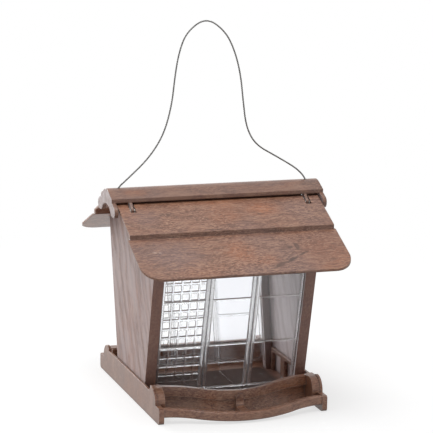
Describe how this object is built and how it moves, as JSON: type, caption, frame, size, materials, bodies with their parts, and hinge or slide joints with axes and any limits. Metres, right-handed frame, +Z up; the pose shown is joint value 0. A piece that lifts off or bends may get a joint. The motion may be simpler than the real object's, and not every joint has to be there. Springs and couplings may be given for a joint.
{
  "type": "bird feeder",
  "caption": "House-shaped hanging bird feeder: a seed hopper with clear leaning windows on a tray with bowed perches, under hinged lapped roof flaps, hung by a steel cable.",
  "frame": {"origin": "on the ground under the middle of the tray, at the bottom of the side rails", "axes": "+X along the ridge to the right, +Y to the back, +Z up; the front faces -Y"},
  "size_m": [0.27, 0.304, 0.4605],
  "materials": {
    "wood_look_plastic": "satin brown moulding with a wood grain",
    "clear_plastic": "clear, polished",
    "steel": "zinc plated",
    "cable": "twisted steel wire rope"
  },
  "bodies": {
    "house": {"base_tray": "wood_look_plastic", "left_end_wall": "wood_look_plastic", "right_end_wall": "wood_look_plastic", "ridge_cap": "wood_look_plastic", "front_window": "clear_plastic", "back_window": "clear_plastic", "left_divider": "clear_plastic", "right_divider": "clear_plastic", "base_screws": "steel", "left_ridge_screw": "steel", "right_ridge_screw": "steel", "left_cable_ferrule": "steel", "right_cable_ferrule": "steel", "hanging_cable": "cable"},
    "front_roof": {"front_roof_flap": "wood_look_plastic", "front_left_hinge_pin": "steel", "front_right_hinge_pin": "steel"},
    "back_roof": {"back_roof_flap": "wood_look_plastic", "back_left_hinge_pin": "steel", "back_right_hinge_pin": "steel"}
  },
  "joints": [
    {"name": "front_flap_hinge", "type": "hinge", "parent": "house", "child": "front_roof", "pos_m": [0, -0.03, 0.2378], "axis": [-1, 0, 0], "range_deg": [0, 105]},
    {"name": "back_flap_hinge", "type": "hinge", "parent": "house", "child": "back_roof", "pos_m": [0, 0.03, 0.2378], "axis": [1, 0, 0], "range_deg": [0, 105]}
  ]
}
